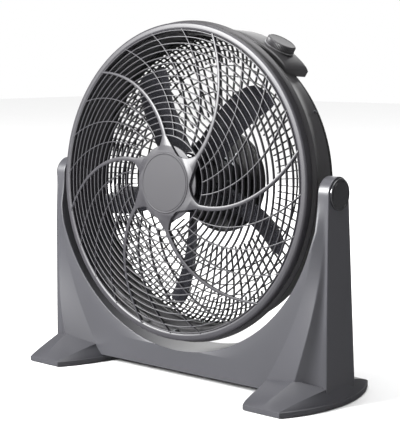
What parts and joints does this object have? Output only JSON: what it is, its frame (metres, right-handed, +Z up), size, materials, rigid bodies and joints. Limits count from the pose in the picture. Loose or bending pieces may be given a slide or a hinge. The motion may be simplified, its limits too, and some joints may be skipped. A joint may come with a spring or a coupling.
{
  "type": "box fan",
  "caption": "Floor box fan with a round head that tilts between the uprights of a moulded stand, a guarded impeller and a speed knob.",
  "frame": {"origin": "on the floor, midway between the two feet", "axes": "+Z up, the fan blows towards -Y, +X to the viewer's right when facing the front grille"},
  "size_m": [0.673, 0.267, 0.6495],
  "materials": {
    "stand_plastic": "fine matte moulded",
    "head_plastic": "satin moulded",
    "rear_plastic": "satin moulded",
    "impeller_plastic": "glossy moulded",
    "badge": "satin, lighter grey",
    "cap_plastic": "semi-gloss moulded",
    "knob_plastic": "matte moulded",
    "dial_mark": "printed ring",
    "rubber": "soft",
    "zinc_screw": "zinc plated",
    "nylon": "natural nylon",
    "fibre_disc": "pressed fibre",
    "cast_bell": "die cast",
    "lamination": "stacked steel sheet",
    "copper_coil": "enamelled wire",
    "bronze": "sintered",
    "steel_shaft": "ground"
  },
  "bodies": {
    "stand": {"stand_shell": "stand_plastic", "stand_rear_cover": "stand_plastic", "cover_screws": "zinc_screw", "left_foot": "stand_plastic", "right_foot": "stand_plastic", "foot_pads": "rubber", "foot_screws": "zinc_screw", "left_pivot_bush": "nylon", "right_pivot_bush": "nylon", "left_pivot_cap": "cap_plastic", "right_pivot_cap": "cap_plastic", "friction_discs": "fibre_disc"},
    "head": {"drum": "head_plastic", "front_grille": "head_plastic", "hub_badge": "badge", "grille_screws": "zinc_screw", "rear_grille": "rear_plastic", "rear_grille_screws": "zinc_screw", "motor_front_bell": "cast_bell", "motor_rear_bell": "cast_bell", "stator_core": "lamination", "stator_windings": "copper_coil", "front_bearing": "bronze", "rear_bearing": "bronze", "motor_screws": "zinc_screw", "motor_mount_screws": "zinc_screw", "motor_cover": "rear_plastic", "motor_cover_screws": "zinc_screw", "run_capacitor": "nylon", "cord_grommet": "rubber", "control_housing": "head_plastic", "housing_screws": "zinc_screw", "rotary_switch": "nylon", "dial_ring": "dial_mark", "pivot_bolts": "zinc_screw", "pivot_nuts": "zinc_screw"},
    "impeller": {"impeller": "impeller_plastic", "motor_shaft": "steel_shaft", "rotor_core": "lamination", "impeller_nut": "zinc_screw"},
    "knob": {"speed_knob": "knob_plastic", "switch_spindle": "steel_shaft"}
  },
  "joints": [
    {"name": "head_tilt", "type": "hinge", "parent": "stand", "child": "head", "pos_m": [0, -0.004, 0.358], "axis": [-1, 0, 0], "range_deg": [-18, 87]},
    {"name": "impeller_spin", "type": "hinge", "parent": "head", "child": "impeller", "pos_m": [0, -0.004, 0.358], "axis": [0, 0.9986, -0.0523], "continuous": true},
    {"name": "speed_knob_turn", "type": "hinge", "parent": "head", "child": "knob", "pos_m": [0.142, 0.07079, 0.60037], "axis": [0.5, 0.0453, 0.8648], "range_deg": [0, 270]}
  ]
}
